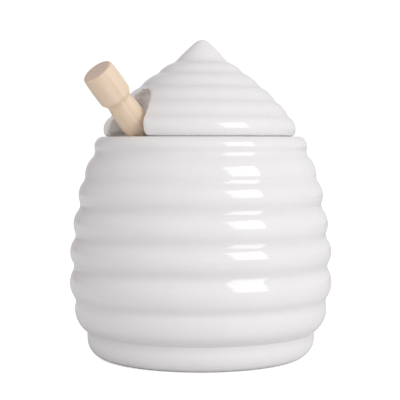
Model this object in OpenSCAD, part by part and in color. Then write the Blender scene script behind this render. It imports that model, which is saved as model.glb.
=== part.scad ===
// Beehive honey pot with a lift-off lid and a turned dipper.
// The pot stands on the plane z = 0 with its axis on +Z. The lid's notch and the dipper lean to -X.

/* [Pot] */
// Height of the rim above the table
pot_h = 95.5; // [85:0.5:110]
// Radii of the grooves between the ribs, from the neck down
groove_r = [44.9, 50.1, 51.6, 53.7, 54.3, 54.1, 49.5];
// Heights of the ribs between those grooves, from the top down
rib_h = [11.3, 11.6, 12.9, 12.9, 14.3, 13.9];
// Height of the rolled rim above the first groove
rim_h = 7.2; // [6:0.1:8]
// Outer radius of the flat top of the rim
rim_r = 43.2; // [42:0.1:44.5]
// How far the rolled rim swells
rim_bulge = 2; // [1.2:0.1:2.4]
// How far each rib swells, from the top down
rib_bulge = [1.9, 2.2, 2.6, 2.8, 2.8, 2.6];
// Radius of the soft corner in each groove
groove_fillet = 4; // [1:0.1:5]
// Radius of the rounded corner between the plain band and the foot
foot_corner = 8.2; // [6:0.1:9.5]
// Thickness of the pot's wall
wall = 3.8; // [3.5:0.1:6]
// Thickness of the pot's floor
floor_t = 10; // [6:0.1:12]
// Radius of the mouth
mouth_r = 38.6; // [36:0.1:39]
// Radius of the rounded inner edge of the mouth
lip_r = 1.1; // [0.8:0.1:2.2]
// Height of the straight part of the mouth
mouth_h = 5; // [4:0.5:7]
// Width of the unglazed foot ring
foot_ring_w = 5; // [3:0.5:8]
// Depth of the recess inside the foot ring
foot_recess = 1.8; // [1:0.1:3]

/* [Lid] */
// Height of the lid above the rim
lid_h = 42.4; // [38:0.1:46]
// Radii of the steps in the lid, from the top down
step_r = [11.6, 18.4, 26.0, 32.7, 38.3];
// Heights of those steps above the rim
step_z = [31.9, 27.2, 21.3, 15.1, 8.5];
// How far each ring of the lid swells
ring_bulge = 0.7; // [0.3:0.05:1]
// How far the fat roll at the bottom swells
roll_bulge = 1.95; // [1.2:0.05:2.2]
// Outer radius of the face that rests on the rim
seat_r = 40.8; // [40:0.1:42]
// Radius of the rounded tip
tip_r = 3.6; // [2.5:0.1:5]
// How far the cap swells between its tip and the first step
cap_bulge = 0.2; // [0.1:0.1:0.8]
// Radius of the soft corner below each step
step_fillet = 1.2; // [0.3:0.1:1.6]
// Thickness of the lid's wall
lid_wall = 4.4; // [3.5:0.1:5.5]
// Depth of the locating flange that hangs in the mouth
flange_h = 6; // [4:0.5:8]
// Thickness of that flange
flange_t = 4; // [3:0.1:5]
// Gap between the flange and the mouth
flange_gap = 0.8; // [0.5:0.1:1.2]

/* [Notch] */
// Half the width of the notch at the rim
notch_w = 10.2; // [9:0.1:12]
// Half the width of the notch at its middle
notch_mid_w = 7.9; // [7:0.1:9]
// Height of the notch's middle above the rim
notch_mid_z = 9.3; // [8:0.1:11]
// Radius of the rounded head of the notch
notch_top_r = 4.2; // [3:0.1:5]
// Height of the centre of that rounded head above the rim
notch_top_z = 17.5; // [16:0.1:19]
// Distance of the notch's back from the axis at the rim
notch_back = 20.4; // [19:0.1:23]
// Distance of the notch's back from the axis at its middle
notch_back_mid = 23.4; // [22:0.1:25]
// Distance of the notch's back from the axis at its head
notch_back_top = 25.4; // [24:0.1:27]
// How far the notch's space runs on outward
notch_reach = 50; // [40:1:80]
// How much wider it is there, on each side
notch_flare = 3.5; // [0:0.5:6]
// Thickness of the moulded skin round the notch
notch_skin = 3.6; // [3:0.1:4.5]

/* [Dipper] */
// Length of the dipper
dipper_l = 144; // [135:1:150]
// Greatest diameter of the knob at the upper end
knob_d = 14.4; // [13:0.1:16]
// Diameter of the flat end of the knob
knob_end_d = 13; // [12:0.1:14]
// Diameter of the knob above its lower shoulder
knob_low_d = 13.4; // [12:0.1:14]
// Length of the knob
knob_l = 13; // [10:0.5:16]
// Radius of the knob's upper edge
knob_edge = 1; // [0.4:0.1:1.6]
// Radius of the knob's lower shoulder
knob_shoulder = 1.5; // [0.8:0.1:2]
// Diameter of the neck under the knob
neck_d = 10.9; // [9:0.1:11.5]
// Distance from the knob to the neck's narrowest place
neck_l = 2.6; // [2:0.1:4]
// Length over which the neck swells to the shaft
neck_taper = 5; // [3:0.5:20]
// Diameter of the shaft
shaft_d = 12; // [11:0.1:13]
// Greatest diameter of the grooved head
head_d = 22; // [20:0.5:24]
// Diameter of the head at its two ends
head_end_d = 15.5; // [14:0.5:19]
// Length of the grooved head
head_l = 35; // [30:1:42]
// Number of discs that the grooves leave in the head
disc_count = 7; // [4:1:8]
// Thickness of each disc
disc_t = 3; // [2.5:0.1:3.5]
// Width of the bevel on the discs' edges
disc_edge = 0.8; // [0.3:0.1:1.2]
// Length over which the shaft narrows to the head's core
shaft_foot = 6; // [4:0.5:10]
// Diameter of the core between the discs
core_d = 9; // [8:0.1:10]

/* [Fit] */
// Gap left where the dipper rests in the pot
rest_gap = 0.3; // [0.2:0.05:0.6]

/* [Hidden] */
round_fn = 96;
blend_fn = 32;
arc_steps = 8;
fillet_steps = 4;
cavity_steps = 5;
lid_steps = 3;
shoulder_turn = 70;
least_lean = 20;
most_lean = 60;
halvings = 30;
eps = 0.01;
glaze = [0.93, 0.93, 0.93];
beech = [0.87, 0.76, 0.62];

// Sum of the first n entries of a list
function sum_of(list, n) = n <= 0 ? 0 : list[n - 1] + sum_of(list, n - 1);

// Points on a circle from angle a to angle b
function arc(centre, r, a, b, steps) =
    [for (i = [0:steps]) let (t = a + (b - a) * i / steps) centre + r * [cos(t), sin(t)]];

// A list without its two end points
function inner(list) = [for (i = [1:len(list) - 2]) list[i]];

// Outward side of the way from p down to q
function outward(p, q) = [p.y - q.y, q.x - p.x] / norm(q - p);

// A bead: the circle through p and q that swells outward, as [centre, radius]
function bead(p, q, swell) =
    let (c = norm(q - p) / 2, r = (c * c + swell * swell) / (2 * swell))
    [(p + q) / 2 - outward(p, q) * (r - swell), r];

// Centre of a fillet that rests in the groove between beads a and b
function fillet_at(a, b, f) =
    let (d = norm(b[0] - a[0]), along = (b[0] - a[0]) / d, ra = a[1] + f, rb = b[1] + f)
    let (x = (ra * ra - rb * rb + d * d) / (2 * d))
    a[0] + along * x + outward(a[0], b[0]) * sqrt(ra * ra - x * x);

function angle_of(v) = atan2(v.y, v.x);
function full_angle(v) = (angle_of(v) + 360) % 360;

// Outline through the points from the top down: a bead between each two, a fillet in each groove
function beaded(points, swells, f) =
    let (last = len(swells) - 1, beads = [for (i = [0:last]) bead(points[i], points[i + 1], swells[i])])
    let (fillets = [for (i = [0:last - 1]) fillet_at(beads[i], beads[i + 1], f)])
    [for (i = [0:last])
        let (c = beads[i][0], from = i == 0 ? points[0] : fillets[i - 1])
        let (to = i == last ? points[last + 1] : fillets[i])
        each concat(
            arc(c, beads[i][1], angle_of(from - c), angle_of(to - c), arc_steps),
            i == last ? [] : inner(
                arc(to, f, full_angle(c - to), full_angle(beads[i + 1][0] - to), fillet_steps))
        )];

// A smooth curve through the points
function smooth(p, steps) =
    let (last = len(p) - 1)
    [for (i = [0:last - 1], k = [0:i == last - 1 ? steps : steps - 1])
        let (t = k / steps, a = p[max(i - 1, 0)], b = p[i], c = p[i + 1], d = p[min(i + 2, last)])
        (2 * b + (c - a) * t + (2 * a - 5 * b + 4 * c - d) * t * t + (3 * b - a - 3 * c + d) * t * t * t) / 2];

// The points moved inward by a wall's thickness
function inset(p, t) =
    let (last = len(p) - 1)
    [for (i = [0:last]) p[i] - outward(p[max(i - 1, 0)], p[min(i + 1, last)]) * t];

// Grooves of the pot as [radius, height], from the neck down
groove_count = len(groove_r);
neck_z = pot_h - rim_h;
grooves = [for (i = [0:groove_count - 1]) [groove_r[i], neck_z - sum_of(rib_h, i)]];
band_r = groove_r[groove_count - 1];
foot_r = band_r - foot_corner;

// Inside of the pot
cavity_wall = smooth(inset(grooves, wall), cavity_steps);
cavity_low = cavity_wall[len(cavity_wall) - 1];
cavity_table = [for (i = [len(cavity_wall) - 1:-1:0]) [cavity_wall[i].y, cavity_wall[i].x]];
function cavity_r(z) = lookup(z, cavity_table);

// Discs of the dipper's head: distance of each disc's lower face from the head's end, and its radius
disc_pitch = (head_l - disc_t) / (disc_count - 1);
function head_r(s) =
    let (u = 2 * s / head_l - 1)
    head_end_d / 2 + (head_d - head_end_d) / 2 * sqrt(max(0, 1 - u * u));
disc_s = [for (i = [0:disc_count - 1]) i * disc_pitch];
disc_r = [for (s = disc_s) head_r(s + disc_t / 2)];

// Where the head's end lies when the dipper leans by a: on the floor and against the wall opposite
head_end_z = function (a)
    floor_t + rest_gap + max([for (i = [0:disc_count - 1]) disc_r[i] * sin(a) - disc_s[i] * cos(a)]);
head_end_x = function (a)
    let (z = head_end_z(a))
    min([for (i = [0:disc_count - 1], s = [disc_s[i], disc_s[i] + disc_t])
        cavity_r(z + s * cos(a) + disc_r[i] * sin(a)) - rest_gap - disc_r[i] * cos(a) + s * sin(a)]);

// Distance left between the shaft and the lip of the mouth when the dipper leans by a
lip_centre = [-(mouth_r + lip_r), pot_h - lip_r];
function lip_left(a) =
    (head_end_x(a) - lip_centre.x) * cos(a) - (lip_centre.y - head_end_z(a)) * sin(a)
    - lip_r - shaft_d / 2 - rest_gap;

// The lean at which the shaft comes to rest on the lip, by halving the interval between low and high
function rest_lean(low, high, rounds) =
    let (a = (low + high) / 2)
    rounds == 0 ? a : lip_left(a) > 0 ? rest_lean(a, high, rounds - 1) : rest_lean(low, a, rounds - 1);
lean = rest_lean(least_lean, most_lean, halvings);
echo(lean = lean, head_end = [head_end_x(lean), head_end_z(lean)]);

// Outline of the pot's outside, from the rim down to the foot
module pot_outside() {
    rim = [rim_r, pot_h];
    side = beaded(concat([rim], grooves), concat([rim_bulge], rib_bulge), groove_fillet);
    corner = arc([foot_r, foot_corner], foot_corner, 0, -90, arc_steps);
    polygon(concat([[0, pot_h]], side, corner, [[0, 0]]));
}

// Outline of the space inside the pot, from the mouth down to the floor
module pot_inside() {
    lip = arc([-lip_centre.x, lip_centre.y], lip_r, 90, 180, arc_steps);
    corner = cavity_low.y - floor_t;
    floor_edge = arc([cavity_low.x - corner, cavity_low.y], corner, 0, -90, arc_steps);
    polygon(concat(
        [[0, pot_h + eps], [mouth_r + lip_r, pot_h + eps]],
        lip,
        [[mouth_r, pot_h - mouth_h]],
        [for (i = [0:len(cavity_wall) - 2]) cavity_wall[i]],
        floor_edge,
        [[0, floor_t]]
    ));
}

module pot() {
    color(glaze)
    rotate_extrude($fn = round_fn)
    difference() {
        pot_outside();
        pot_inside();
        square([foot_r - foot_ring_w, foot_recess]);
    }
}

// Steps of the lid as [radius, height]
steps = [for (i = [0:len(step_r) - 1]) [step_r[i], pot_h + step_z[i]]];
tip_centre = [0, pot_h + lid_h - tip_r];
flange_r = mouth_r - flange_gap;
flange_in_r = flange_r - flange_t;

// Point where a line from the first step touches the rounded tip
tip_touch =
    let (v = steps[0] - tip_centre, a = angle_of(v) + acos(tip_r / norm(v)))
    tip_centre + tip_r * [cos(a), sin(a)];

// Outline of the lid's outside, from the tip down to its seat
module lid_outside() {
    last = len(steps) - 1;
    rings = beaded(
        concat([tip_touch], steps, [[seat_r, pot_h]]),
        concat([cap_bulge], [for (i = [0:last - 1]) ring_bulge], [roll_bulge]),
        step_fillet
    );
    tip = arc(tip_centre, tip_r, 90, angle_of(tip_touch - tip_centre), arc_steps);
    polygon(concat([tip[0]], inner(tip), rings, [[0, pot_h]]));
}

// Outline of the space inside the lid
module lid_inside() {
    wall_line = smooth(inset(concat([tip_touch], steps), lid_wall), lid_steps);
    polygon(concat(
        [[0, wall_line[0].y]],
        [for (p = wall_line) if (p.x < flange_in_r) p],
        [[flange_in_r, pot_h + lid_wall], [flange_in_r, pot_h - flange_h - eps], [0, pot_h - flange_h - eps]]
    ));
}

// Outline of the flange that hangs in the mouth
module flange_outline() {
    translate([flange_in_r - eps, pot_h - flange_h])
    square([flange_t + eps, flange_h + lid_wall]);
}

// The space of the notch, grown by a wall's thickness
module notch_space(grow) {
    hull()
    for (out = [0, 1]) {
        w = grow + out * notch_flare;
        translate([-out * notch_reach, 0, pot_h]) {
            translate([-(notch_back_top + notch_top_r), 0, notch_top_z])
            sphere(r = notch_top_r + w, $fn = blend_fn);
            translate([-(notch_back_mid + notch_mid_w), 0, notch_mid_z])
            sphere(r = notch_mid_w + w, $fn = blend_fn);
            translate([-(notch_back + notch_w), 0, -2 * flange_h])
            cylinder(r = notch_w + w, h = 2 * flange_h, $fn = blend_fn);
        }
    }
}

module lid() {
    color(glaze)
    difference() {
        union() {
            rotate_extrude($fn = round_fn)
            difference() {
                union() {
                    lid_outside();
                    flange_outline();
                }
                lid_inside();
            }
            intersection() {
                rotate_extrude($fn = round_fn) lid_outside();
                notch_space(notch_skin);
            }
        }
        notch_space(0);
    }
}

// Outline of one disc of the head, from its upper face down
function disc(i) =
    let (s = disc_s[i], r = disc_r[i])
    [[core_d / 2, s + disc_t], [r - disc_edge, s + disc_t], [r, s + disc_t - disc_edge],
        [r, s + disc_edge], [r - disc_edge, s], [i == 0 ? 0 : core_d / 2, s]];

// Outline of the dipper, from the knob down to the end of its head
module dipper_outline() {
    knob_low = dipper_l - knob_l;
    knob_top = [knob_end_d / 2, dipper_l - knob_edge];
    knob = bead(knob_top, [knob_low_d / 2, knob_low], (knob_d - knob_low_d / 2 - knob_end_d / 2) / 2);
    neck_z = knob_low - neck_l;
    polygon(concat(
        [[0, dipper_l]],
        arc(knob_top - [knob_edge, 0], knob_edge, 90, 0, fillet_steps),
        inner(arc(knob[0], knob[1], angle_of(knob_top - knob[0]),
            angle_of([knob_low_d / 2, knob_low] - knob[0]), arc_steps)),
        arc([knob_low_d / 2 - knob_shoulder, knob_low], knob_shoulder, 0, -shoulder_turn, fillet_steps),
        [[neck_d / 2, neck_z], [shaft_d / 2, neck_z - neck_taper]],
        [[shaft_d / 2, head_l + shaft_foot], [core_d / 2, head_l + shaft_foot / 2]],
        [for (i = [disc_count - 1:-1:0]) each disc(i)]
    ));
}

module dipper() {
    color(beech)
    translate([head_end_x(lean), 0, head_end_z(lean)])
    rotate([0, -lean, 0])
    rotate_extrude($fn = round_fn)
    dipper_outline();
}

pot();
lid();
dipper();
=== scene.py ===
import logging
import math
from collections.abc import Callable
from dataclasses import dataclass
from enum import Enum

import bpy
import numpy as np
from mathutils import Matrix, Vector


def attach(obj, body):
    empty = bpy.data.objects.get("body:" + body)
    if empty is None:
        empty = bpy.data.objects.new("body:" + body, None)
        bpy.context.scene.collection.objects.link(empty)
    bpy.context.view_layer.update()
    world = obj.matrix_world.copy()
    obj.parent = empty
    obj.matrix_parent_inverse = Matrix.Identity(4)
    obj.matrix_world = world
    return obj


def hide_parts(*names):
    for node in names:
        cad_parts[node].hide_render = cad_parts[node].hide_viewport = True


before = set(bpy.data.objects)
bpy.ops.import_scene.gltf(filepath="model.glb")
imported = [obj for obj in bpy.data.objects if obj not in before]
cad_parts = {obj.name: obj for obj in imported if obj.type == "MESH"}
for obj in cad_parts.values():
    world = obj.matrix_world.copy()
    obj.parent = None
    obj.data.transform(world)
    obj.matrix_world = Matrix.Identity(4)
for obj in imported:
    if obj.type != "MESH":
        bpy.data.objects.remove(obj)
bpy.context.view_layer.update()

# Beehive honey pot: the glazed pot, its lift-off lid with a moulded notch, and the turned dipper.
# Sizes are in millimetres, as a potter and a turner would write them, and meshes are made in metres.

MM = 0.001

WELD = 0.004        # vertices closer than this are merged
ON_AXIS = 0.005     # a vertex closer to the axis than this lies on it
SNUG = 0.05         # what is this close to a level counts as lying on it
TINY = 1e-4         # step that a slope is measured over, and slack of an exact level

WHITE = (1.0, 1.0, 1.0)
MIX_FACTOR, MIX_A, MIX_B, MIX_COLOUR = 0, 6, 7, 2       # sockets of a Mix node for colours

log = logging.getLogger("honey_pot")

Outline = list[Vector]
Circle = tuple[Vector, float]
Colour = tuple[float, float, float]
Piece = bpy.types.Object
Material = bpy.types.Material
Socket = bpy.types.NodeSocket
Value = Socket | Vector | tuple | float


class Slot(Enum):
    """Material slots of the record."""

    GLAZE = "glaze"
    PALE_WOOD = "pale_wood"


class Face(Enum):
    """Where a point of the lid's outline lies."""

    OUTSIDE = "outside"
    BOTTOM = "bottom"
    INSIDE = "inside"


def point(r: float, z: float) -> Vector:
    """A point of an outline: distance from the axis and height."""
    return Vector((r, z))


def on_circle(centre: Vector, radius: float, angle: float) -> Vector:
    """The point of a circle at an angle in radians."""
    return centre + radius * Vector((math.cos(angle), math.sin(angle)))


def arc(centre: Vector, radius: float, start: float, end: float, steps: int) -> Outline:
    """Points along an arc.

    Args:
        centre: centre of the circle.
        radius: its radius.
        start: first angle, in radians.
        end: last angle, in radians.
        steps: number of equal steps between them.

    Returns:
        The steps + 1 points from start to end.
    """
    return [on_circle(centre, radius, start + (end - start) * i / steps) for i in range(steps + 1)]


def angle_of(v: Vector) -> float:
    """Angle of a direction, in radians."""
    return math.atan2(v.y, v.x)


def outward(p: Vector, q: Vector) -> Vector:
    """Outward side of the way from p down to q."""
    return Vector((p.y - q.y, q.x - p.x)).normalized()


def bead(p: Vector, q: Vector, swell: float) -> Circle:
    """The circle through p and q that swells outward between them.

    Args:
        p: upper point.
        q: lower point.
        swell: how far the circle stands proud of the straight line.

    Returns:
        The circle's centre and radius.
    """
    half = (q - p).length / 2
    radius = (half * half + swell * swell) / (2 * swell)
    return (p + q) / 2 - outward(p, q) * (radius - swell), radius


def fillet_centre(upper: Circle, lower: Circle, fillet: float) -> Vector:
    """Centre of the fillet that rests in the groove between two beads.

    Args:
        upper: the bead above.
        lower: the bead below.
        fillet: the fillet's radius.

    Returns:
        The centre of the fillet.
    """
    across = lower[0] - upper[0]
    d = across.length
    a, b = upper[1] + fillet, lower[1] + fillet
    x = (a * a - b * b + d * d) / (2 * d)
    return upper[0] + across / d * x + outward(upper[0], lower[0]) * math.sqrt(max(a * a - x * x, 0))


def beaded(points: Outline, swells: list[float], fillet: float, steps: int = 12, inner: int = 6) -> Outline:
    """An outline that swells in a bead between each two points, with a soft fillet in each groove.

    Args:
        points: the grooves, from the top down.
        swells: how far each bead stands proud.
        fillet: radius of the soft corner in each groove.
        steps: number of steps along a bead.
        inner: number of steps along a fillet.

    Returns:
        The outline from the first point to the last.
    """
    beads = [bead(p, q, s) for p, q, s in zip(points, points[1:], swells)]
    fillets = [fillet_centre(a, b, fillet) for a, b in zip(beads, beads[1:])]
    ends = [points[0], *fillets, points[-1]]
    outline: Outline = []
    for i, (centre, radius) in enumerate(beads):
        start, end = ends[i], ends[i + 1]
        outline += arc(centre, radius, angle_of(start - centre), angle_of(end - centre), steps)
        if i < len(fillets):
            first = angle_of(centre - end) % math.tau
            last = angle_of(beads[i + 1][0] - end) % math.tau
            outline += arc(end, fillet, first, last, inner)[1:-1]
    return outline


def smooth_curve(points: Outline, steps: int) -> Outline:
    """A smooth curve through the points.

    Args:
        points: the points that it passes through.
        steps: number of steps between two of them.

    Returns:
        The points of the curve.
    """
    curve: Outline = []
    last = len(points) - 1
    for i in range(last):
        a, b, c, d = points[max(i - 1, 0)], points[i], points[i + 1], points[min(i + 2, last)]
        for k in range(steps):
            t = k / steps
            curve.append((2 * b + (c - a) * t + (2 * a - 5 * b + 4 * c - d) * t * t
                          + (3 * b - a - 3 * c + d) * t ** 3) / 2)
    return curve + [points[last].copy()]


def inset(points: Outline, thickness: float) -> Outline:
    """The points moved inward by a wall's thickness."""
    last = len(points) - 1
    return [p - outward(points[max(i - 1, 0)], points[min(i + 1, last)]) * thickness
            for i, p in enumerate(points)]


def rounded(corner: Vector, before: Vector, after: Vector, radius: float, steps: int = 4) -> Outline:
    """A rounded corner of an outline.

    Args:
        corner: the sharp corner.
        before: the point that comes before it.
        after: the point that comes after it.
        radius: radius of the rounding.
        steps: number of steps along the rounding.

    Returns:
        The points of the rounding, in order.
    """
    u, v = (before - corner).normalized(), (after - corner).normalized()
    half = u.angle(v) / 2
    centre = corner + (u + v).normalized() * radius / math.sin(half)
    first, last = corner + u * radius / math.tan(half), corner + v * radius / math.tan(half)
    start = angle_of(first - centre)
    turn = (angle_of(last - centre) - start + math.pi) % math.tau - math.pi
    return arc(centre, radius, start, start + turn, steps)


class Lathe:
    """Turns outlines into round pieces, as with the extrude and spin tools."""

    @staticmethod
    def draw(name: str, outline: Outline) -> Piece:
        """Draws an outline in the XZ plane, one vertex after another.

        Args:
            name: name of the new piece.
            outline: the points, in millimetres.

        Returns:
            The piece, left in edit mode with all of it selected.
        """
        bpy.ops.object.select_all(action="DESELECT")
        first = outline[0] * MM
        bpy.ops.mesh.primitive_plane_add(size=MM, location=(first.x, 0, first.y))
        piece = bpy.context.object
        piece.name = piece.data.name = name
        bpy.ops.object.transform_apply(location=True, rotation=True, scale=True)
        bpy.ops.object.mode_set(mode="EDIT")
        bpy.ops.mesh.select_mode(type="VERT")
        bpy.ops.mesh.select_all(action="SELECT")
        bpy.ops.mesh.merge(type="CENTER")
        for p, q in zip(outline, outline[1:]):
            step = (q - p) * MM
            bpy.ops.mesh.extrude_vertices_move(TRANSFORM_OT_translate={"value": (step.x, 0, step.y)})
        bpy.ops.mesh.select_all(action="SELECT")
        return piece

    @staticmethod
    def turn(name: str, outline: Outline, steps: int) -> Piece:
        """Spins an outline right round the upright axis.

        Args:
            name: name of the new piece.
            outline: the points, in millimetres.
            steps: number of steps in the full circle.

        Returns:
            The turned piece, in object mode, closed and with its faces pointing outward.
        """
        piece = Lathe.draw(name, outline)
        bpy.ops.mesh.spin(steps=steps, angle=math.tau, center=(0, 0, 0), axis=(0, 0, 1), use_auto_merge=True)
        bpy.ops.mesh.select_all(action="SELECT")
        bpy.ops.mesh.remove_doubles(threshold=WELD * MM)
        bpy.ops.mesh.select_all(action="SELECT")
        bpy.ops.mesh.normals_make_consistent(inside=False)
        bpy.ops.object.mode_set(mode="OBJECT")
        return piece

    @staticmethod
    def take(piece: Piece) -> None:
        """Selects a piece alone, for the tools that act on what is selected.

        Args:
            piece: the piece.
        """
        bpy.ops.object.select_all(action="DESELECT")
        piece.select_set(True)
        bpy.context.view_layer.objects.active = piece

    @staticmethod
    def smooth(piece: Piece, crease: float) -> None:
        """Shades a piece smooth, but for creases sharper than an angle in degrees."""
        Lathe.take(piece)
        bpy.ops.object.shade_smooth_by_angle(angle=math.radians(crease))


def places(piece: Piece) -> np.ndarray:
    """Reads the vertices of a piece.

    Args:
        piece: the piece.

    Returns:
        Their places in millimetres, one row each.
    """
    co = np.empty(len(piece.data.vertices) * 3)
    piece.data.vertices.foreach_get("co", co)
    return co.reshape(-1, 3) / MM


def move_to(piece: Piece, co: np.ndarray) -> None:
    """Moves the vertices of a piece to new places, in millimetres."""
    piece.data.vertices.foreach_set("co", (co * MM).ravel())
    piece.data.update()


def paint(piece: Piece, name: str, values: np.ndarray) -> None:
    """Stores one number for each vertex of a piece, for its material to read."""
    layer = piece.data.attributes.new(name, "FLOAT", "POINT")
    layer.data.foreach_set("value", values.astype(np.float32))


def dark_band(heights: np.ndarray, level: float, width: float) -> np.ndarray:
    """How much darker a place is painted round a level, from 1 at the level to 0 far from it."""
    return np.exp(-((heights - level) / width) ** 2)


def dress(piece: Piece, materials: list[Material], choose: Callable[[Vector, Vector], int]) -> None:
    """Gives a piece its materials.

    Args:
        piece: the piece.
        materials: its materials, the main one first.
        choose: takes a face's centre in millimetres and its normal, and gives the material's number.
    """
    for material in materials:
        piece.data.materials.append(material)
    for face in piece.data.polygons:
        face.material_index = choose(face.center / MM, face.normal)


class Nodes:
    """A short way to lay out the nodes of a material or of the world.

    A value for an input is another node's socket, which is linked, or a constant, which is set.
    """

    def __init__(self, owner: Material | bpy.types.World, place: str) -> None:
        """Empties the owner's nodes.

        Args:
            owner: the material or the world.
            place: the texture coordinate that its patterns read.
        """
        owner.use_nodes = True
        self.tree = owner.node_tree
        self.tree.nodes.clear()
        self.place = self.add("ShaderNodeTexCoord").outputs[place]

    def add(self, kind: str, inputs: dict[str | int, Value] | None = None, **settings: str) -> bpy.types.Node:
        """Adds a node.

        Args:
            kind: its type.
            inputs: values of its inputs, by their names or numbers.
            settings: its properties.

        Returns:
            The node.
        """
        node = self.tree.nodes.new(kind)
        for key, setting in settings.items():
            setattr(node, key, setting)
        for key, value in (inputs or {}).items():
            self.put(node.inputs[key], value)
        return node

    def put(self, target: Socket, value: Value) -> None:
        """Links or sets one input; a colour is given as three numbers."""
        if isinstance(value, Socket):
            self.tree.links.new(value, target)
        elif target.type == "RGBA":
            target.default_value = (*value, 1)
        else:
            target.default_value = value

    def mapped(self, place: Socket, **inputs: tuple[float, float, float]) -> Socket:
        """Moves, turns or scales a place by Location, Rotation or Scale."""
        node = self.add("ShaderNodeMapping", {"Vector": place, **inputs}, vector_type="POINT")
        return node.outputs["Vector"]

    def painted(self, name: str) -> Socket:
        """Reads the number that is painted on the piece under a name."""
        return self.add("ShaderNodeAttribute", attribute_name=name).outputs["Fac"]

    def noise(self, scale: float, detail: float = 2, roughness: float = 0.5,
              at: Socket | None = None) -> Socket:
        """A noise of so many cells to the metre, at the piece's own place or at a given one."""
        inputs = {"Scale": scale, "Detail": detail, "Roughness": roughness, "Vector": at or self.place}
        return self.add("ShaderNodeTexNoise", inputs).outputs["Fac"]

    def ramp(self, source: Socket, *stops: tuple[float, Colour]) -> Socket:
        """Colours a value.

        Args:
            source: the value.
            stops: the first and the last stop, each a value and its colour.

        Returns:
            The colour.
        """
        node = self.add("ShaderNodeValToRGB", {"Fac": source})
        for element, (position, colour) in zip(node.color_ramp.elements, stops):
            element.position = position
            element.color = (*colour, 1)
        return node.outputs["Color"]

    def mix(self, factor: Socket, a: Socket | Colour, b: Socket | Colour) -> Socket:
        """Mixes two colours, from a where the factor is 0 to b where it is 1."""
        inputs = {MIX_FACTOR: factor, MIX_A: a, MIX_B: b}
        return self.add("ShaderNodeMix", inputs, data_type="RGBA").outputs[MIX_COLOUR]

    def span(self, source: Socket, low: float, high: float, start: float = 0.0, end: float = 1.0,
             **settings: str) -> Socket:
        """Maps a value from start..end to low..high, and holds it there."""
        inputs = {"Value": source, "From Min": start, "From Max": end, "To Min": low, "To Max": high}
        return self.add("ShaderNodeMapRange", inputs, **settings).outputs["Result"]

    def bump(self, height: Socket, depth: float, strength: float, **raised: Socket) -> Socket:
        """Raises the surface, or a Normal that is raised already, by a height of so many millimetres."""
        inputs = {"Distance": depth * MM, "Strength": strength, "Height": height, **raised}
        return self.add("ShaderNodeBump", inputs).outputs["Normal"]


class Finish(Nodes):
    """The nodes of a new material."""

    def __init__(self, name: str) -> None:
        """Starts a material with a shader and its output.

        Args:
            name: name of the material.
        """
        self.material = bpy.data.materials.new(name)
        super().__init__(self.material, "Object")
        self.shader = self.add("ShaderNodeBsdfPrincipled")
        self.add("ShaderNodeOutputMaterial", {"Surface": self.shader.outputs["BSDF"]})

    def made(self, **values: Socket | Colour | float) -> Material:
        """Fills in the shader.

        Args:
            values: values of its inputs, by their names with _ for spaces.

        Returns:
            The material.
        """
        for key, value in values.items():
            self.put(self.shader.inputs[key.replace("_", " ")], value)
        return self.material


def shade(colour: Colour, share: float) -> Colour:
    """A colour at a share of its brightness."""
    return tuple(c * share for c in colour)


@dataclass(frozen=True)
class Glaze:
    """Clear white glaze over a white body. It is painted cooler and darker in the grooves, for thicker glaze
    and as painted shade, and lighter and warmer in the lid's notch as painted bounce light.
    """

    body: Colour = (0.845, 0.838, 0.842)
    # darker colour for thicker glaze in the grooves and as painted shade
    pooled_and_shaded: Colour = (0.745, 0.740, 0.748)
    # painted bounce light: a lighter, warmer white in the lid's notch
    recess: Colour = (0.955, 0.925, 0.905)
    mottled: float = 0.985
    roughness: tuple[float, float] = (0.045, 0.085)

    def material(self) -> Material:
        """Makes the material.

        The pieces hold how much darker a place is painted, for thicker glaze and as painted shade, in one
        attribute, and how far a place lies in the lid's moulded notch, where a lighter, warmer white is
        painted as bounce light, in another.

        Returns:
            The material.
        """
        n = Finish("white_glaze")
        cloud = n.span(n.noise(scale=70, detail=3), low=0.0, high=1.0, start=0.35, end=0.65)
        body = n.mix(cloud, self.body, shade(self.body, self.mottled))
        # painted shade and painted bounce light mixed into the body colour
        white = n.mix(n.painted("recess"), n.mix(n.painted("pooling_and_shade"), body, self.pooled_and_shaded), self.recess)
        sheen = n.span(n.noise(scale=160), *self.roughness, start=0.3, end=0.7)
        wave = n.bump(n.noise(scale=95), depth=0.12, strength=0.35)
        peel = n.bump(n.noise(scale=900), depth=0.012, strength=0.3, Normal=wave)
        return n.made(Base_Color=white, Roughness=sheen, Normal=peel, IOR=1.52,
                      Coat_Weight=0.5, Coat_Roughness=0.03, Coat_IOR=1.5)


@dataclass(frozen=True)
class Bisque:
    """Bare fired clay, where a pot stands in the kiln and where the glaze is wiped off."""

    colour: Colour = (0.66, 0.62, 0.56)
    grit: float = 0.82

    def material(self) -> Material:
        """Makes the material: fine matt grain with a few darker grits.

        Returns:
            The material.
        """
        n = Finish("bare_clay")
        grain = n.noise(scale=1800, detail=4, roughness=0.7)
        colour = n.ramp(grain, (0.3, shade(self.colour, self.grit)), (0.5, self.colour))
        return n.made(Base_Color=colour, Normal=n.bump(grain, depth=0.06, strength=0.6), Roughness=0.85)


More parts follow.
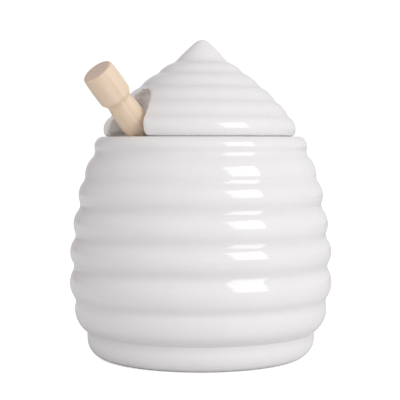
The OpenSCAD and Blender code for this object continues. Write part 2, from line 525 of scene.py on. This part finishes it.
@dataclass(frozen=True)
class Beech:
    """Pale sanded beech, with the grain along a leaning stick whose foot is given in metres."""

    lean: float
    foot: Vector
    light: Colour = (0.85, 0.705, 0.555)
    dark: Colour = (0.77, 0.60, 0.425)
    fleck: Colour = (0.55, 0.38, 0.25)
    sawn: Colour = (0.70, 0.545, 0.455)
    ring: float = 0.94
    ring_centre: tuple[float, float] = (11.0, 16.0)
    streaked: float = 0.30

    def along_grain(self, n: Nodes) -> Socket:
        """Turns the piece's own place so that the stick's axis is upright.

        Args:
            n: the material's nodes.

        Returns:
            The turned place.
        """
        cos, sin, foot = math.cos(self.lean), math.sin(self.lean), self.foot
        back = (-(foot.x * cos + foot.z * sin), -foot.y, -(foot.z * cos - foot.x * sin))
        return n.mapped(n.place, Rotation=(0, self.lean, 0), Location=back)

    def material(self) -> Material:
        """Makes the wood of the turned sides: growth rings, fine fibres and short flecks.

        Returns:
            The material.
        """
        n = Finish("sanded_beech")
        place = self.along_grain(n)
        rings, fibres, flecks = (
            n.noise(1, detail, roughness, n.mapped(place, Scale=(across, across, along)))
            for across, along, detail, roughness in
            ((260, 9, 3, 0.55), (1500, 40, 3, 0.6), (1900, 330, 1, 0.5)))
        wood = n.ramp(rings, (0.36, self.dark), (0.62, self.light))
        wood = n.mix(n.span(fibres, 0.0, self.streaked, start=0.35, end=0.75), wood, self.dark)
        wood = n.mix(n.span(flecks, 0.0, self.streaked, start=0.66, end=0.78), wood, self.fleck)
        return n.made(Base_Color=wood, Normal=n.bump(fibres, depth=0.04, strength=0.5),
                      Roughness=n.span(fibres, low=0.52, high=0.68), IOR=1.45)

    def end_grain(self) -> Material:
        """Makes the wood of the sawn ends: darker, with pores and the arcs of the growth rings.

        Returns:
            The material.
        """
        n = Finish("beech_end_grain")
        place = self.along_grain(n)
        x, y = self.ring_centre
        about = n.mapped(place, Location=(x * MM, y * MM, 0))
        inputs = {"Vector": about, "Scale": 160, "Distortion": 1.5, "Detail Scale": 2}
        rings = n.add("ShaderNodeTexWave", inputs, wave_type="RINGS", rings_direction="Z").outputs["Fac"]
        pores = n.noise(scale=2600, roughness=0.6, at=place)
        wood = n.ramp(rings, (0.0, shade(self.sawn, self.ring)), (0.7, self.sawn))
        wood = n.mix(n.span(pores, 0.0, self.streaked, start=0.55, end=0.72), wood, self.fleck)
        return n.made(Base_Color=wood, Normal=n.bump(pores, depth=0.05, strength=0.5), Roughness=0.75)


@dataclass
class PotBody:
    """The pot: a thick wall in six soft ribs, a rolled rim, a plain band and a foot ring."""

    height: float = 95.5
    groove_radii: tuple[float, ...] = (44.9, 50.1, 51.6, 53.7, 54.3, 54.1, 49.5)
    rib_heights: tuple[float, ...] = (11.3, 11.6, 12.9, 12.9, 14.3, 13.9)
    rib_swells: tuple[float, ...] = (1.9, 2.2, 2.6, 2.8, 2.8, 2.6)
    groove_fillet: float = 4.0
    rim_height: float = 7.2
    rim_radius: float = 43.2
    rim_swell: float = 2.0
    foot_corner: float = 8.2
    wall: float = 3.8
    floor: float = 10.0
    mouth_radius: float = 38.6
    mouth_height: float = 5.0
    lip_radius: float = 1.1
    ring_width: float = 5.0
    ring_recess: float = 1.8
    ring_edge: float = 0.6
    turn_steps: int = 256
    crease: float = 40.0
    # darker in the grooves, more so toward the bottom, in a band above the foot and all over the inside:
    # thicker glaze in the grooves, the rest painted shade
    groove_darkening: tuple[float, ...] = (0.05, 0.2, 0.5, 0.6, 0.6, 0.6)
    groove_darkening_width: float = 1.9
    band_darkening_lift: float = 1.4
    band_darkening_width: float = 2.6
    inside_shade: float = 0.35
    bare_facing: float = -0.6

    @property
    def grooves(self) -> Outline:
        """The grooves between the ribs, from the neck down."""
        heights = [self.height - self.rim_height - sum(self.rib_heights[:i])
                   for i in range(len(self.groove_radii))]
        return [point(r, z) for r, z in zip(self.groove_radii, heights)]

    def outside(self) -> Outline:
        """Draws the outside.

        Returns:
            Its outline, from the rim down to the foot ring.
        """
        rim = point(self.rim_radius, self.height)
        side = beaded([rim] + self.grooves, [self.rim_swell, *self.rib_swells], self.groove_fillet)
        corner = point(self.grooves[-1].x - self.foot_corner, self.foot_corner)
        return side + arc(corner, self.foot_corner, 0, -math.pi / 2, steps=12)

    def underside(self) -> Outline:
        """Draws the foot ring's inner edge and the hollow inside it.

        Returns:
            Their outline, from the ring to the middle.
        """
        inner = self.grooves[-1].x - self.foot_corner - self.ring_width
        low, high, middle = point(inner, 0), point(inner, self.ring_recess), point(0, self.ring_recess)
        return (rounded(low, point(inner + self.ring_width, 0), high, self.ring_edge)
                + rounded(high, low, middle, self.ring_edge) + [middle])

    def inside(self) -> Outline:
        """Draws the inside.

        Returns:
            Its outline, from the middle of the floor up to the mouth's lip.
        """
        wall = smooth_curve(inset(self.grooves, self.wall), steps=5)
        low = wall[-1]
        corner = low.y - self.floor
        lip = point(self.mouth_radius + self.lip_radius, self.height - self.lip_radius)
        down = (arc(lip, self.lip_radius, math.pi / 2, math.pi, steps=8)
                + [point(self.mouth_radius, self.height - self.mouth_height)]
                + wall[:-1]
                + arc(point(low.x - corner, low.y), corner, 0, -math.pi / 2, steps=8)
                + [point(0, self.floor)])
        return down[::-1]

    def build(self) -> Piece:
        """Turns the pot and paints how much darker each place is, for thicker glaze and as painted shade.

        Returns:
            The pot, riding on its body.
        """
        outline = self.inside() + self.outside() + self.underside()
        piece = Lathe.turn("pot_body", outline, self.turn_steps)
        Lathe.smooth(piece, self.crease)
        x, y, z = places(piece).T
        # how much darker each place is painted: thicker glaze in the grooves, and painted shade that grows
        # toward the bottom
        dark_bands = [share * dark_band(z, groove.y, self.groove_darkening_width)
                 for groove, share in zip(self.grooves, self.groove_darkening)]
        dark_bands.append(dark_band(z, self.grooves[-1].y + self.band_darkening_lift, self.band_darkening_width))
        depth = np.max(dark_bands, axis=0)
        # painted shade: the whole inside of the pot is painted darker
        depth[np.hypot(x, y) < self.mouth_radius + self.lip_radius] = self.inside_shade
        paint(piece, "pooling_and_shade", depth)
        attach(piece, "pot")
        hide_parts("pot")
        return piece

    def dress(self, piece: Piece, glaze: Material, clay: Material) -> None:
        """Glazes the pot all over but for the foot ring that it stood on in the kiln."""
        dress(piece, [glaze, clay],
              lambda at, normal: int(at.z < self.ring_edge and normal.z < self.bare_facing))


@dataclass
class Notch:
    """The moulded notch in the lid's edge, wide at the rim and closed in a rounded head.

    Its half widths and its back's distances from the axis are given at heights above the rim.
    """

    rim_height: float = 95.5
    heights: tuple[float, ...] = (
        -7.0, 0.0, 0.8, 2.0, 4.0, 6.4, 8.5, 12.0, 14.0, 16.0, 17.0, 18.0, 19.0, 19.7, 20.2)
    half_widths: tuple[float, ...] = (
        13.0, 14.3, 13.9, 13.6, 13.3, 12.4, 10.9, 10.4, 8.6, 6.9, 6.4, 5.7, 4.6, 3.3, 0.1)
    backs: tuple[float, ...] = (
        20.4, 20.4, 20.6, 21.0, 21.6, 22.3, 22.9, 24.0, 24.5, 25.0, 25.3, 25.8, 26.6, 27.6, 29.0)
    corner: float = 5.0
    flare: float = math.radians(4)

    def distance(self, x: float, y: float, z: float) -> float:
        """How far a place lies outside the notch's space, or inside it where negative.

        Args:
            x: place along the axis that the notch opens on; it opens toward -X.
            y: place to its side.
            z: height.

        Returns:
            The distance, in millimetres.
        """
        rise = z - self.rim_height
        half = float(np.interp(rise, self.heights, self.half_widths))
        back = float(np.interp(rise, self.heights, self.backs))
        corner = min(self.corner, half)
        out, side = -(back + corner) - x, abs(y) - (half - corner)
        above = max(rise - self.heights[-1], 0)
        cos, sin = math.cos(self.flare), math.sin(self.flare)
        if out * cos + side * sin > 0:
            flat = side * cos - out * sin - corner
        else:
            flat = math.hypot(out, max(side, 0)) - corner
        return math.hypot(max(flat, 0), above) if above > 0 else flat


@dataclass
class Tracer:
    """Follows the edge of the round lid, dented by the notch, at one height.

    The notch is grown by skin on all sides, and lip is the radius of the soft edge between it and the round.
    """

    notch: Notch
    radius: float
    z: float
    skin: float
    lip: float
    stride: float = 0.4
    coarse: float = 0.5
    halvings: int = 30
    corrections: int = 3
    most: int = 2000

    def depth(self, x: float, y: float) -> float:
        """How far a place lies outside the dented round, or inside it where negative.

        Args:
            x: place along the axis that the notch opens on.
            y: place to its side.

        Returns:
            The distance, in millimetres.
        """
        out = math.hypot(x, y) - self.radius
        dent = self.skin - self.notch.distance(x, y, self.z)
        soft = math.hypot(max(out + self.lip, 0), max(dent + self.lip, 0))
        return min(-self.lip, max(out, dent)) + soft

    def slope(self, x: float, y: float) -> tuple[float, float, float]:
        """Finds how the depth changes at a place.

        Args:
            x: place along the axis that the notch opens on.
            y: place to its side.

        Returns:
            The depth, and how much it grows for each millimetre along x and along y.
        """
        here = self.depth(x, y)
        return here, (self.depth(x + TINY, y) - here) / TINY, (self.depth(x, y + TINY) - here) / TINY

    def first(self) -> float:
        """Finds the edge in the middle of the notch.

        Returns:
            Its place along the axis that the notch opens on.
        """
        outer = inner = -self.radius - 1
        while self.depth(inner, 0) > 0:
            outer, inner = inner, inner + self.coarse
        for _ in range(self.halvings):
            x = (outer + inner) / 2
            outer, inner = (x, inner) if self.depth(x, 0) > 0 else (outer, x)
        return x

    def path(self, end: float) -> list[tuple[float, float]]:
        """Follows the edge from the middle of the notch to one side.

        Args:
            end: how far round it goes, in radians from the middle.

        Returns:
            The places along it; the last lies past the end.
        """
        x, y = self.first(), 0.0
        path = [(x, y)]
        while math.atan2(y, -x) < end and len(path) < self.most:
            _, gx, gy = self.slope(x, y)
            norm = math.sqrt(gx * gx + gy * gy)
            x, y = x + gy / norm * self.stride, y - gx / norm * self.stride
            for _ in range(self.corrections):
                here, gx, gy = self.slope(x, y)
                size = gx * gx + gy * gy
                x, y = x - here * gx / size, y - here * gy / size
            path.append((x, y))
        return path

    def columns(self, end: float, near_steps: int, far_steps: int) -> np.ndarray:
        """Places the lid's columns along the edge, from the middle of the notch to the far side.

        Args:
            end: where the dented part ends, in radians from the middle of the notch.
            near_steps: number of equal steps along the dented part.
            far_steps: number of steps along the rest, which is round.

        Returns:
            The places of the columns, one row each.
        """
        x, y = -self.radius * math.cos(end), self.radius * math.sin(end)
        track = np.array(self.path(end)[:-1] + [(x, y)])
        run = np.concatenate([[0], np.cumsum(np.hypot(*np.diff(track, axis=0).T))])
        at = np.linspace(0, run[-1], near_steps + 1)
        near = np.column_stack([np.interp(at, run, track[:, 0]), np.interp(at, run, track[:, 1])])
        turns = np.linspace(end, math.pi, far_steps + 1)[1:]
        far = np.column_stack([-self.radius * np.cos(turns), self.radius * np.sin(turns)])
        return np.vstack([near, far])


@dataclass
class WallPoint:
    """A point of the lid's outline, and how the notch moves it.

    The share is how far through the wall the point lies, from 0 outside to 1 inside.
    """

    at: Vector
    face: Face
    share: float = 0.0


@dataclass
class LidShell:
    """The lid: a hollow dome in stepped rings with a rounded tip, a fat roll and a locating flange."""

    notch: Notch
    rim_height: float = 95.5
    height: float = 41.8
    ledge_radii: tuple[float, ...] = (11.6, 18.4, 26.0, 32.7, 38.3)
    ledge_heights: tuple[float, ...] = (31.9, 27.2, 21.3, 15.1, 8.5)
    ledge_fillet: float = 5.5
    ring_swell: float = 0.8
    roll_swell: float = 1.95
    seat_radius: float = 40.8
    seat_corner: float = 1.3
    seat_lift: float = 0.1
    tip_radius: float = 4.6
    cap_swell: float = 0.2
    wall: float = 4.4
    hollow_start: float = 1.0
    hollow_gap: float = 0.5
    flange_height: float = 6.0
    flange_thickness: float = 4.0
    flange_radius: float = 37.8
    flange_edge: float = 1.0
    flange_root: float = 0.3
    flange_gap: float = 0.3
    flange_slope: float = 3.5
    bore_row: float = 0.4
    skin: float = 3.6
    outer_lip: float = 2.4
    inner_lip: float = 2.0
    turned: float = math.radians(5.5)
    lean: float = 1.2
    lean_start: float = 6.0
    lean_toward: float = math.radians(-40.3)
    aside: float = 0.5
    notch_half_angle: float = math.radians(34)
    half_steps: int = 190
    notch_steps: int = 90
    crease: float = 55.0
    # darker just above each step: thicker glaze and painted shade
    ledge_darkening: float = 0.4
    ledge_darkening_lift: float = 0.4
    ledge_darkening_width: float = 1.3
    bare_facing: float = -0.7

    @property
    def ledges(self) -> Outline:
        """The steps between the rings, from the top down."""
        return [point(r, self.rim_height + z) for r, z in zip(self.ledge_radii, self.ledge_heights)]

    @property
    def seat_height(self) -> float:
        """Height of the flat seat that the lid lies on the rim with."""
        return self.rim_height + self.seat_lift

    @property
    def bore(self) -> float:
        """Radius of the flange's inside."""
        return self.flange_radius - self.flange_thickness

    def tip(self) -> Outline:
        """Draws the rounded tip.

        Returns:
            Its outline, down to where a line from the first ledge touches it.
        """
        centre = point(0, self.rim_height + self.height - self.tip_radius)
        v = self.ledges[0] - centre
        touch = on_circle(centre, self.tip_radius, angle_of(v) + math.acos(self.tip_radius / v.length))
        return arc(centre, self.tip_radius, math.pi / 2, angle_of(touch - centre), steps=8)

    def bottom(self, before: Vector) -> Outline:
        """Draws the seat and the flange.

        Args:
            before: a point of the roll above the seat.

        Returns:
            Their outline, from the roll to the flange's inside.
        """
        low = self.rim_height - self.flange_height
        seat, root = point(self.seat_radius, self.seat_height), point(self.flange_radius, self.seat_height)
        bore = point(self.bore, self.seat_height)
        foot_out, foot_in = point(self.flange_radius, low), point(self.bore, low)
        return (rounded(seat, before, bore, self.seat_corner)
                + [root + point(self.flange_root, 0)]
                + rounded(foot_out, root, foot_in, self.flange_edge)
                + rounded(foot_in, foot_out, bore, self.flange_edge))

    def outline(self) -> list[WallPoint]:
        """Draws the whole lid.

        Returns:
            Its outline, from the tip down the outside, round the flange and up the inside.
        """
        tip = self.tip()
        seat = point(self.seat_radius, self.seat_height)
        swells = [self.cap_swell] + [self.ring_swell] * (len(self.ledges) - 1) + [self.roll_swell]
        rings = beaded([tip[-1]] + self.ledges + [seat], swells, self.ledge_fillet, steps=10, inner=5)
        bottom = self.bottom(rings[-3])
        side = [p for p in rings[:-1] if p.y > bottom[0].y + SNUG]
        wall = smooth_curve(inset([tip[-1]] + self.ledges, self.wall), steps=4)
        hollow = [p for p in wall if self.hollow_start < p.x < self.bore - self.hollow_gap]
        inside = [point(self.bore, self.seat_height + self.bore_row * i) for i in range(3)]
        inside += [point(self.bore, self.rim_height + self.wall)] + hollow[::-1] + [point(0, wall[0].y)]
        depth = self.seat_radius - self.bore
        return ([WallPoint(p, Face.OUTSIDE) for p in tip[:-1] + side]
                + [WallPoint(p, Face.BOTTOM, (self.seat_radius - p.x) / depth) for p in bottom]
                + [WallPoint(p, Face.INSIDE, 1.0) for p in inside])

    def section(self, radius: float, z: float, face: Face) -> np.ndarray:
        """Follows the edge of the dented lid at one height.

        Args:
            radius: radius of the lid before it is dented.
            z: height.
            face: whether the outside or the inside is dented.

        Returns:
            The places of the columns, from the middle of the notch to the far side.
        """
        skin, lip = (0, self.outer_lip) if face is Face.OUTSIDE else (self.skin, self.inner_lip)
        tracer = Tracer(self.notch, radius, z, skin, lip)
        return tracer.columns(self.notch_half_angle, self.notch_steps, self.half_steps - self.notch_steps)

    def sections(self, outline: list[WallPoint]) -> np.ndarray:
        """Follows the edge of the dented lid at every point of the outline.

        Args:
            outline: the lid's outline.

        Returns:
            The places of the columns, by point of the outline and column.
        """
        seat = self.section(self.seat_radius, self.seat_height, Face.OUTSIDE)
        back = self.section(self.bore, self.seat_height, Face.INSIDE)
        sections = []
        for p in outline:
            r, z = p.at
            if r < ON_AXIS:
                sections.append(np.zeros_like(seat))
            elif p.face is Face.BOTTOM:
                sections.append(seat * (1 - p.share) + back * p.share)
            else:
                sections.append(self.section(r, z, p.face))
        return np.array(sections)

    def press_notch(self, piece: Piece, outline: list[WallPoint]) -> None:
        """Presses the notch into the turned lid, as a thumb would, and takes the flange away there.

        Args:
            piece: the turned lid.
            outline: the outline that it was turned from.
        """
        co = places(piece)
        radius = np.hypot(co[:, 0], co[:, 1])
        rows = np.array([[p.at.x, p.at.y] for p in outline])
        away = (radius[:, None] - rows[:, 0]) ** 2 + (co[:, 2][:, None] - rows[:, 1]) ** 2
        turn = np.abs(np.arctan2(co[:, 1], -co[:, 0]))
        column = np.rint(turn / math.pi * self.half_steps).astype(int)
        placed = self.sections(outline)[away.argmin(axis=1), column]
        pressed = radius - np.hypot(placed[:, 0], placed[:, 1])
        # painted bounce light: how far each place is pressed into the notch, for the lighter, warmer white
        paint(piece, "recess", np.clip(pressed / self.outer_lip, 0, 1))
        placed[:, 1] *= np.where(co[:, 1] < -TINY, -1, 1)
        moved = radius > ON_AXIS
        co[moved, :2] = placed[moved]
        beside = np.abs(co[:, 1]) - self.notch.half_widths[0] - self.flange_gap
        share = np.clip(beside / self.flange_slope, 0, 1)
        share = np.where(co[:, 0] < 0, share * share * (3 - 2 * share), 1)
        low = co[:, 2] < self.seat_height - TINY
        co[low, 2] = self.seat_height - (self.seat_height - co[low, 2]) * share[low]
        move_to(piece, self.settle(co))

    def settle(self, co: np.ndarray) -> np.ndarray:
        """Turns the lid a little on the rim and gives the hand-made dome its slight lean.

        Args:
            co: the vertices, in millimetres.

        Returns:
            The vertices as the lid lies on the pot.
        """
        cos, sin = math.cos(self.turned), math.sin(self.turned)
        x, y = co[:, 0] * cos + co[:, 1] * sin, co[:, 1] * cos - co[:, 0] * sin
        rise = co[:, 2] - self.rim_height
        grown = np.clip((rise - self.lean_start) / (self.height - self.lean_start), 0, 1)
        way = math.cos(self.lean_toward), math.sin(self.lean_toward)
        shift = self.lean * grown * grown - self.aside
        return np.column_stack([x + shift * way[0], y + shift * way[1], co[:, 2]])

    def build(self) -> Piece:
        """Turns the lid, presses its notch and paints how much darker it is above each step, for thicker
        glaze and as painted shade.

        Returns:
            The lid, riding on its body.
        """
        outline = self.outline()
        piece = Lathe.turn("lid_shell", [p.at for p in outline], 2 * self.half_steps)
        self.press_notch(piece, outline)
        Lathe.smooth(piece, self.crease)
        z = places(piece)[:, 2]
        # painted shade and thicker glaze just above each step
        dark_bands = [dark_band(z, ledge.y + self.ledge_darkening_lift, self.ledge_darkening_width) for ledge in self.ledges]
        paint(piece, "pooling_and_shade", self.ledge_darkening * np.max(dark_bands, axis=0))
        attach(piece, "lid")
        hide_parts("lid")
        return piece

    def dress(self, piece: Piece, glaze: Material, clay: Material) -> None:
        """Glazes the lid all over but for the flat seat and the flange's foot."""
        dress(piece, [glaze, clay],
              lambda at, normal: int(at.z < self.seat_height + SNUG and normal.z < self.bare_facing))


@dataclass
class Dipper:
    """The dipper: a turned rod with a knob at one end and a grooved head at the other."""

    length: float = 144.0
    knob_width: float = 14.0
    knob_end_width: float = 13.5
    knob_low_width: float = 13.8
    knob_length: float = 13.0
    knob_edge: float = 1.3
    knob_shoulder: float = 2.2
    shoulder_turn: float = math.radians(-38)
    neck_width: float = 10.9
    neck_length: float = 3.3
    neck_taper: float = 5.0
    shaft_width: float = 12.0
    head_width: float = 22.0
    head_end_width: float = 15.5
    head_length: float = 35.0
    disc_count: int = 7
    disc_thickness: float = 3.0
    disc_edge: float = 0.8
    shaft_foot: float = 6.0
    core_width: float = 9.0
    lean: float = math.radians(42.8085)
    foot: tuple[float, float] = (42.5805, 16.4611)
    turn_steps: int = 128
    crease: float = 35.0
    end_facing: float = 0.9

    def disc_radius(self, low: float) -> float:
        """Finds the radius of a disc of the head, which is widest half way up.

        Args:
            low: how far the disc's lower face is from the head's end.

        Returns:
            The radius.
        """
        u = 2 * (low + self.disc_thickness / 2) / self.head_length - 1
        swell = (self.head_width - self.head_end_width) / 2
        return self.head_end_width / 2 + swell * math.sqrt(max(0, 1 - u * u))

    def disc(self, number: int) -> Outline:
        """Draws one disc of the head, with rounded edges.

        Args:
            number: its number, from 0 at the head's end.

        Returns:
            Its outline, from its upper face down.
        """
        low = number * (self.head_length - self.disc_thickness) / (self.disc_count - 1)
        high, r, core = low + self.disc_thickness, self.disc_radius(low), self.core_width / 2
        upper = rounded(point(r, high), point(core, high), point(r, low), self.disc_edge, steps=3)
        lower = rounded(point(r, low), point(r, high), point(core, low), self.disc_edge, steps=3)
        root = point(0 if number == 0 else core, low)
        return [point(core, high)] + upper + lower + [root]

    def knob(self) -> Outline:
        """Draws the knob.

        Returns:
            Its outline, from its flat end down to its lower shoulder.
        """
        top = point(self.knob_end_width / 2, self.length - self.knob_edge)
        bottom = point(self.knob_low_width / 2, self.length - self.knob_length)
        swell = (self.knob_width - self.knob_low_width / 2 - self.knob_end_width / 2) / 2
        centre, radius = bead(top, bottom, swell)
        turned_in = bottom - point(self.knob_shoulder, 0)
        return (arc(top - point(self.knob_edge, 0), self.knob_edge, math.pi / 2, 0, steps=6)
                + arc(centre, radius, angle_of(top - centre), angle_of(bottom - centre), steps=16)[1:-1]
                + arc(turned_in, self.knob_shoulder, 0, self.shoulder_turn, steps=6))

    def outline(self) -> Outline:
        """Draws the upright dipper.

        Returns:
            Its outline, from the middle of the knob's end down to the head's end.
        """
        knob = self.knob()
        neck = point(self.neck_width / 2, self.length - self.knob_length - self.neck_length)
        swollen = point(self.shaft_width / 2, neck.y - self.neck_taper)
        waist = smooth_curve([knob[-1], neck, (neck + swollen) / 2, swollen], steps=6)[1:]
        lower = [point(self.shaft_width / 2, self.head_length + self.shaft_foot),
                 point(self.core_width / 2, self.head_length + self.shaft_foot / 2)]
        discs = [p for i in reversed(range(self.disc_count)) for p in self.disc(i)]
        return [point(0, self.length)] + knob + waist + lower + discs

    def build(self) -> Piece:
        """Turns the dipper upright and lays it in its place against the mouth.

        Returns:
            The dipper, riding on its body.
        """
        piece = Lathe.turn("dipper_turned", self.outline(), self.turn_steps)
        piece.rotation_euler = (0, -self.lean, 0)
        piece.location = self.foot_place()
        Lathe.take(piece)
        bpy.ops.object.transform_apply(location=True, rotation=True, scale=True)
        Lathe.smooth(piece, self.crease)
        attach(piece, "dipper")
        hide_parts("dipper")
        return piece

    def foot_place(self) -> Vector:
        """Place of the head's end, in metres."""
        return Vector((self.foot[0], 0, self.foot[1])) * MM

    def dress(self, piece: Piece) -> None:
        """Gives the sides long grain and the two ends end grain.

        Args:
            piece: the dipper.
        """
        wood = Beech(self.lean, self.foot_place())
        axis = Vector((-math.sin(self.lean), 0, math.cos(self.lean)))
        dress(piece, [wood.material(), wood.end_grain()],
              lambda at, normal: int(abs(normal.dot(axis)) > self.end_facing))


@dataclass
class Studio:
    """Camera, soft light and plain white floor of the product photograph.

    Directions are given as azimuths to the right of the camera's and elevations above the floor.
    """

    azimuth: float = math.radians(40.3)
    distance: float = 539.5
    camera_height: float = 93.7
    aim_height: float = 67.9
    focal: float = 111.5
    sensor: float = 36.0
    shift: float = -0.0018
    clip: tuple[float, float] = (20.0, 50000.0)
    box_azimuth: float = math.radians(43.7)
    box_elevation: float = math.radians(25.5)
    box_distance: float = 1300.0
    box_size: tuple[float, float] = (708.0, 890.0)
    box_power: float = 4.8
    box_colour: Colour = (1.0, 0.995, 0.985)
    ambient_azimuth: float = math.radians(16)
    ambient_elevation: float = math.radians(-4)
    ambient_dark: Colour = (0.374, 0.346, 0.369)
    ambient_light: Colour = (0.937, 0.922, 0.926)
    sweep_azimuth: float = math.radians(150)
    sweep_edge: tuple[float, float] = (0.35, 0.95)
    sweep_white: float = 0.6
    backdrop: float = 1.05
    floor_size: float = 12000.0
    floor_tones: tuple[float, float] = (0.88, 0.9)
    floor_seen: float = 0.8

    def toward(self, azimuth: float, elevation: float) -> Vector:
        """Finds a direction from the pot.

        Args:
            azimuth: how far it is turned to the right of the camera's direction, in radians.
            elevation: how far it is raised above the floor, in radians.

        Returns:
            The direction, of length 1.
        """
        turn = self.azimuth - azimuth
        flat = math.cos(elevation)
        return Vector((-math.sin(turn) * flat, -math.cos(turn) * flat, math.sin(elevation)))

    def middle(self) -> Vector:
        """The place that the camera and the soft box are aimed at, in metres."""
        return Vector((0, 0, self.aim_height * MM))

    def stand(self, data: bpy.types.Camera | bpy.types.Light, place: Vector) -> bpy.types.Object:
        """Stands a camera or a lamp somewhere, aimed at the middle of the pot.

        Args:
            data: the camera or the lamp.
            place: where it stands, in metres.

        Returns:
            Its object.
        """
        stood = bpy.data.objects.new(data.name, data)
        bpy.context.scene.collection.objects.link(stood)
        stood.location = place
        stood.rotation_euler = (self.middle() - place).to_track_quat("-Z", "Y").to_euler()
        return stood

    def camera(self) -> None:
        """Sets up the camera at the photograph's viewing angle."""
        data = bpy.data.cameras.new("photograph")
        data.sensor_width = self.sensor
        data.lens = self.focal
        data.shift_x = self.shift
        data.clip_start, data.clip_end = (c * MM for c in self.clip)
        place = self.toward(0, 0) * self.distance * MM
        place.z = self.camera_height * MM
        bpy.context.scene.camera = self.stand(data, place)

    def soft_box(self) -> None:
        """Hangs the large soft box to the right of the camera."""
        data = bpy.data.lights.new("soft_box", "AREA")
        data.shape = "RECTANGLE"
        data.size, data.size_y = (s * MM for s in self.box_size)
        data.energy = self.box_power
        data.color = self.box_colour
        away = self.toward(self.box_azimuth, self.box_elevation) * self.box_distance * MM
        self.stand(data, self.middle() + away)

    def surround(self) -> None:
        """Lights the set from all sides, a little less from the left, before a white paper sweep.

        The camera sees plain white in its place.
        """
        world = bpy.data.worlds.new("surround")
        bpy.context.scene.world = world
        n = Nodes(world, "Generated")
        side, behind = (
            n.add("ShaderNodeVectorMath", {0: n.place, 1: way}, operation="DOT_PRODUCT").outputs["Value"]
            for way in (self.toward(self.ambient_azimuth, self.ambient_elevation),
                        self.toward(self.sweep_azimuth, 0)))
        tone = n.ramp(n.span(side, low=0.0, high=1.0, start=-1.0),
                      (0.0, self.ambient_dark), (1.0, self.ambient_light))
        sweep = n.span(behind, 0.0, self.sweep_white, *self.sweep_edge, interpolation_type="SMOOTHSTEP")
        light, seen = (
            n.add("ShaderNodeBackground", {"Color": colour, "Strength": strength}).outputs["Background"]
            for colour, strength in ((n.mix(sweep, tone, WHITE), 1.0), (WHITE, self.backdrop)))
        camera_ray = n.add("ShaderNodeLightPath").outputs["Is Camera Ray"]
        surface = n.add("ShaderNodeMixShader", {"Fac": camera_ray, 1: light, 2: seen}).outputs["Shader"]
        n.add("ShaderNodeOutputWorld", {"Surface": surface})

    def floor(self) -> None:
        """Lays the plain pale floor, which the camera sees a little whiter than it is."""
        bpy.ops.object.select_all(action="DESELECT")
        bpy.ops.mesh.primitive_plane_add(size=self.floor_size * MM, location=(0, 0, 0))
        floor = bpy.context.object
        floor.name = "floor"
        n = Finish("pale_floor")
        low, high = (shade(WHITE, tone) for tone in self.floor_tones)
        glow = n.span(n.add("ShaderNodeLightPath").outputs["Is Camera Ray"], 0.0, self.floor_seen)
        floor.data.materials.append(n.made(
            Base_Color=n.ramp(n.noise(scale=6), (0.3, low), (0.7, high)), Roughness=0.9,
            Emission_Color=WHITE, Emission_Strength=glow))

    def build(self) -> None:
        """Sets up the whole studio."""
        bpy.context.scene.view_settings.view_transform = "Standard"
        self.camera()
        self.soft_box()
        self.surround()
        self.floor()


def main() -> None:
    """Builds, dresses and reports the pot, the lid and the dipper, in their studio."""
    logging.basicConfig(level=logging.INFO, format="%(name)s: %(message)s")
    Studio().build()
    glazed = Glaze().material(), Bisque().material()
    for part, finishes in ((PotBody(), glazed), (LidShell(Notch()), glazed), (Dipper(), ())):
        piece = part.build()
        part.dress(piece, *finishes)
        log.info("%s: %d faces", piece.name, len(piece.data.polygons))


if __name__ == "__main__":
    main()
